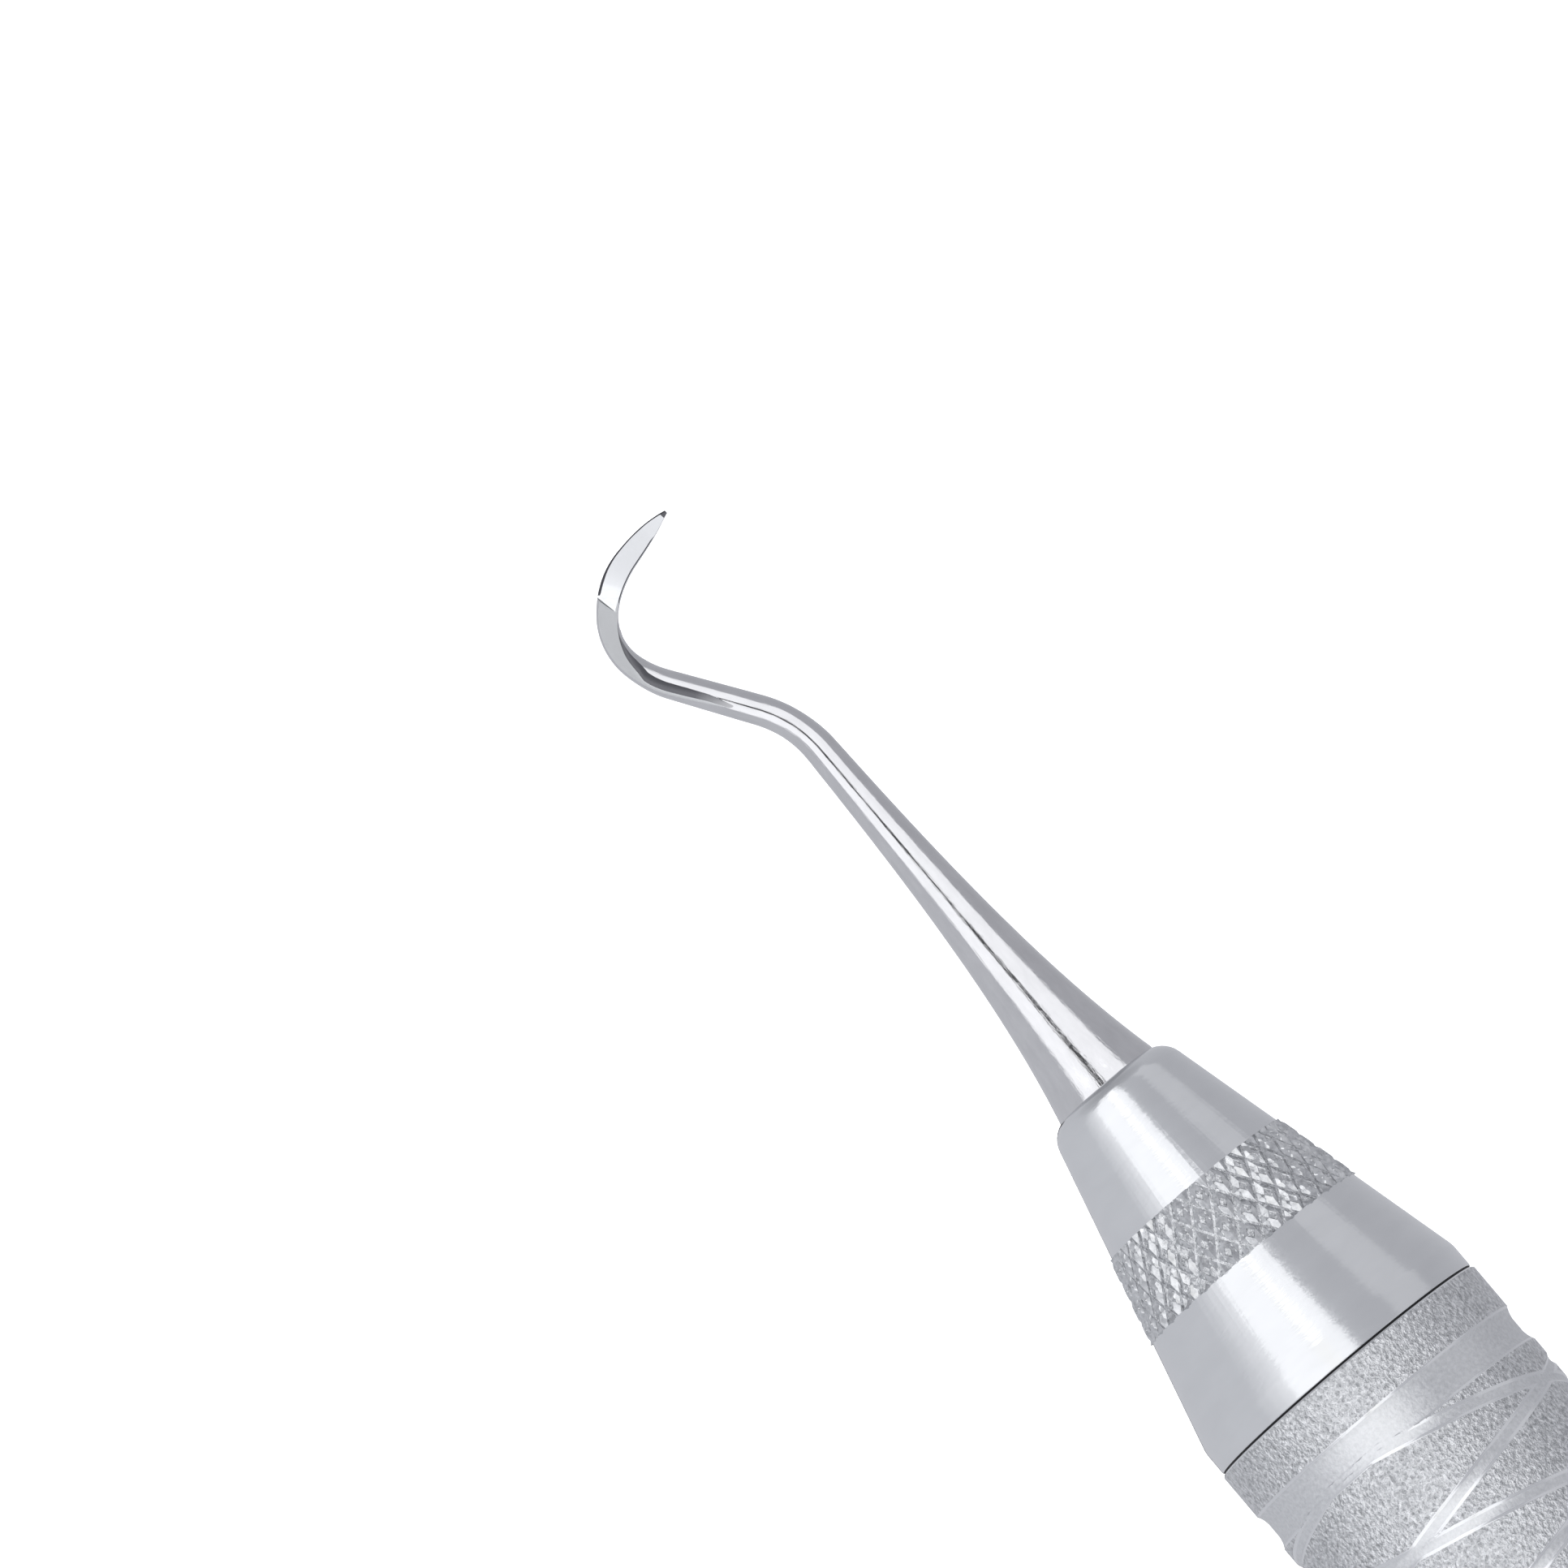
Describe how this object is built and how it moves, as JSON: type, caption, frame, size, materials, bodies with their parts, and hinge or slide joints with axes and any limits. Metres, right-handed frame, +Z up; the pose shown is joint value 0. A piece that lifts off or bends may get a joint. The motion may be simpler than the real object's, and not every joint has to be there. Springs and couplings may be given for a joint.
{
  "type": "hand scaler",
  "caption": "Double-ended dental hand scaler with a hollow round grip, knurled conical ferrules and a sickle-shaped hooked working end at each end.",
  "frame": {"origin": "centre of the handle, on its axis", "axes": "+X along the handle axis towards the front working end, the hooks lie in the XY plane, +Z up out of that plane"},
  "size_m": [0.1724, 0.01, 0.01],
  "materials": {
    "blasted_steel": "bead-blasted stainless steel with polished grooves",
    "satin_steel": "fine turned satin stainless steel",
    "polished_steel": "lengthwise polished stainless steel",
    "black_seal": "matt black elastomer"
  },
  "bodies": {
    "root": {"grip_tube": "blasted_steel", "front_joint_ring": "black_seal", "front_ferrule": "satin_steel", "front_working_end": "polished_steel", "rear_joint_ring": "black_seal", "rear_ferrule": "satin_steel", "rear_working_end": "polished_steel"}
  },
  "joints": []
}
